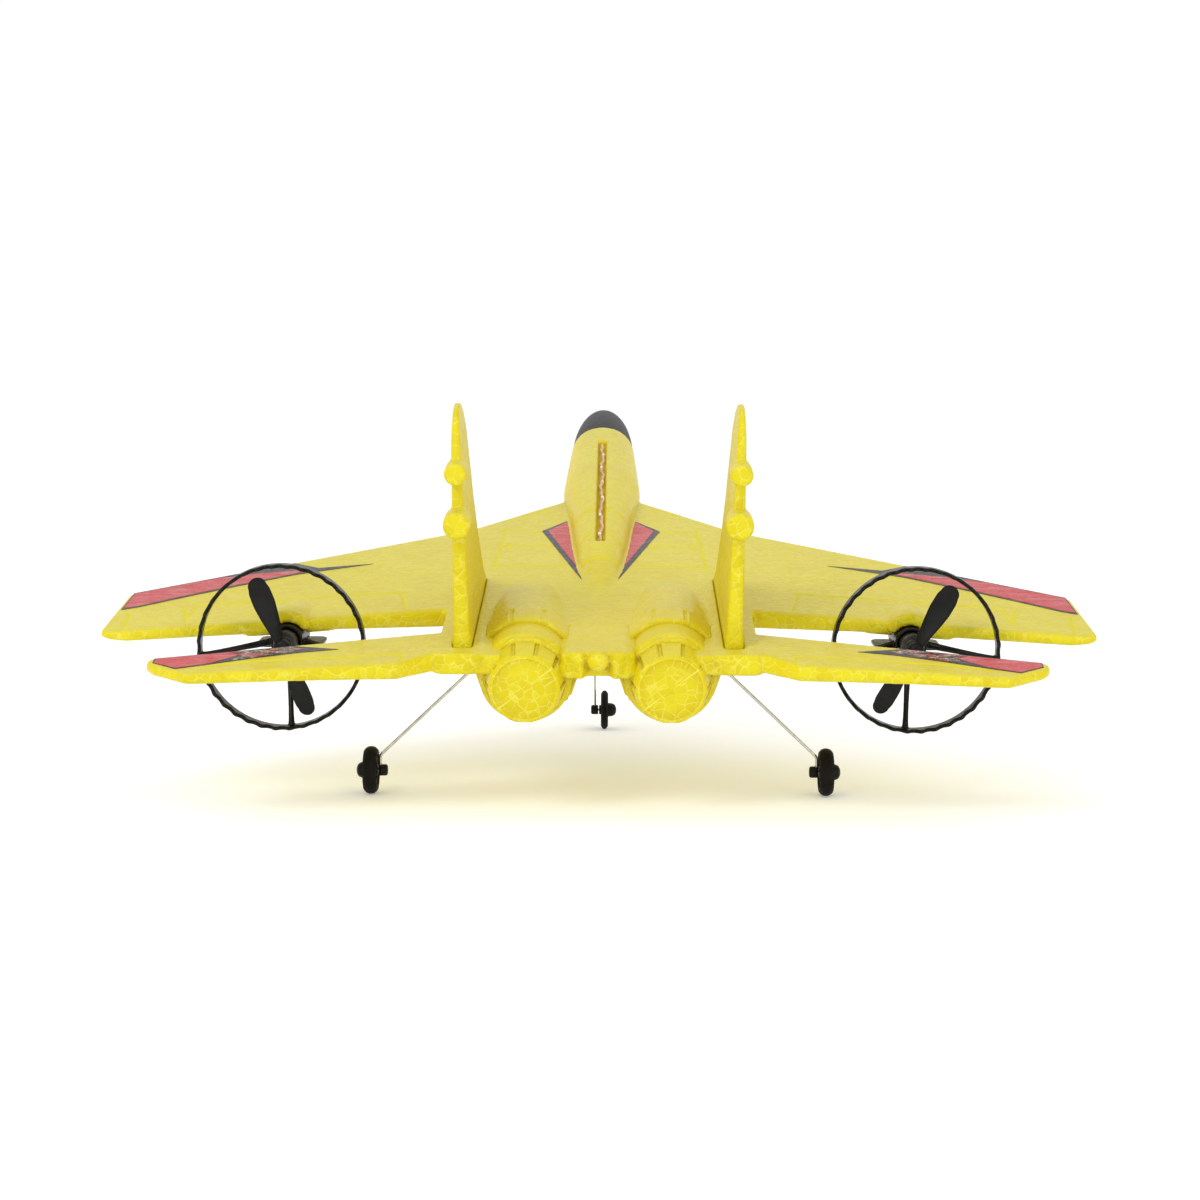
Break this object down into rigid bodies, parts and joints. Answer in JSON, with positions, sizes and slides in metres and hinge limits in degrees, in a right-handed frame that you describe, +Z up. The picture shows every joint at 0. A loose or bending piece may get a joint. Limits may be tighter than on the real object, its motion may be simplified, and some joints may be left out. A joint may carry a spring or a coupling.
{
  "type": "twin propeller foam jet model",
  "caption": "Moulded foam radio-control jet with wings, tailplanes and fins, guarded pusher propellers, wire gear with free wheels and a belly battery bay.",
  "frame": {"origin": "on the ground plane under the middle of the model's bounding box, with all three tyres standing on it", "axes": "+X to the right wing tip, +Y to the nose, +Z up; the model stands nose-up by 11.27 degrees on its wheels"},
  "size_m": [0.2812, 0.3582, 0.1175],
  "materials": {
    "foam": "matte",
    "nose_gloss": "gloss",
    "black_plastic": "satin",
    "black_tyre": "matte",
    "steel": "satin",
    "motor_can": "polished",
    "film": "gloss",
    "board": "satin",
    "cell_wrap": "satin",
    "lead_red": "satin",
    "lead_black": "satin",
    "plug_white": "satin",
    "copper": "satin"
  },
  "bodies": {
    "airframe": {"airframe": "foam", "nose_cone": "nose_gloss", "fin_left": "foam", "fin_right": "foam", "battery_hatch": "black_plastic", "hatch_screw_rear": "steel", "hatch_screw_front": "steel", "receiver_board": "board", "battery_cell": "cell_wrap", "battery_plug": "plug_white", "battery_lead_red": "lead_red", "battery_lead_black": "lead_black", "power_switch_body": "motor_can", "charge_socket": "plug_white", "light_string": "copper", "motor_mount_left": "black_plastic", "motor_left": "motor_can", "motor_lead_left": "lead_red", "deck_decal_left": "film", "wing_decal_left": "film", "tail_decal_left": "film", "motor_mount_right": "black_plastic", "motor_right": "motor_can", "motor_lead_right": "lead_red", "deck_decal_right": "film", "wing_decal_right": "film", "tail_decal_right": "film", "gear_wire_left": "steel", "axle_collar_left": "black_plastic", "gear_socket_left": "black_plastic", "gear_wire_right": "steel", "axle_collar_right": "black_plastic", "gear_socket_right": "black_plastic", "gear_wire_nose": "steel", "axle_collar_nose": "black_plastic", "gear_socket_nose": "black_plastic"},
    "propeller_left": {"propeller_left": "black_plastic", "motor_shaft_left": "steel"},
    "propeller_right": {"propeller_right": "black_plastic", "motor_shaft_right": "steel"},
    "wheel_left": {"wheel_hub_left": "black_plastic", "tyre_left": "black_tyre"},
    "wheel_right": {"wheel_hub_right": "black_plastic", "tyre_right": "black_tyre"},
    "wheel_nose": {"wheel_hub_nose": "black_plastic", "tyre_nose": "black_tyre"},
    "power_switch": {"power_switch_slider": "plug_white"}
  },
  "joints": [
    {"name": "propeller_left_spin", "type": "hinge", "parent": "airframe", "child": "propeller_left", "pos_m": [-0.0892, -0.13864, 0.04535], "axis": [0, 0.9958, 0.0918], "continuous": true},
    {"name": "propeller_right_spin", "type": "hinge", "parent": "airframe", "child": "propeller_right", "pos_m": [0.0892, -0.13864, 0.04535], "axis": [0, 0.9958, 0.0918], "continuous": true},
    {"name": "wheel_left_spin", "type": "hinge", "parent": "airframe", "child": "wheel_left", "pos_m": [-0.0668, -0.11417, 0.00698], "axis": [1, 0, 0], "continuous": true},
    {"name": "wheel_right_spin", "type": "hinge", "parent": "airframe", "child": "wheel_right", "pos_m": [0.0668, -0.11417, 0.00698], "axis": [1, 0, 0], "continuous": true},
    {"name": "wheel_nose_spin", "type": "hinge", "parent": "airframe", "child": "wheel_nose", "pos_m": [0.0013, 0.03837, 0.00698], "axis": [1, 0, 0], "continuous": true},
    {"name": "power_switch_slide", "type": "slide", "parent": "airframe", "child": "power_switch", "axis": [0, 0.9807, 0.1954], "range_m": [0, 0.002]}
  ]
}
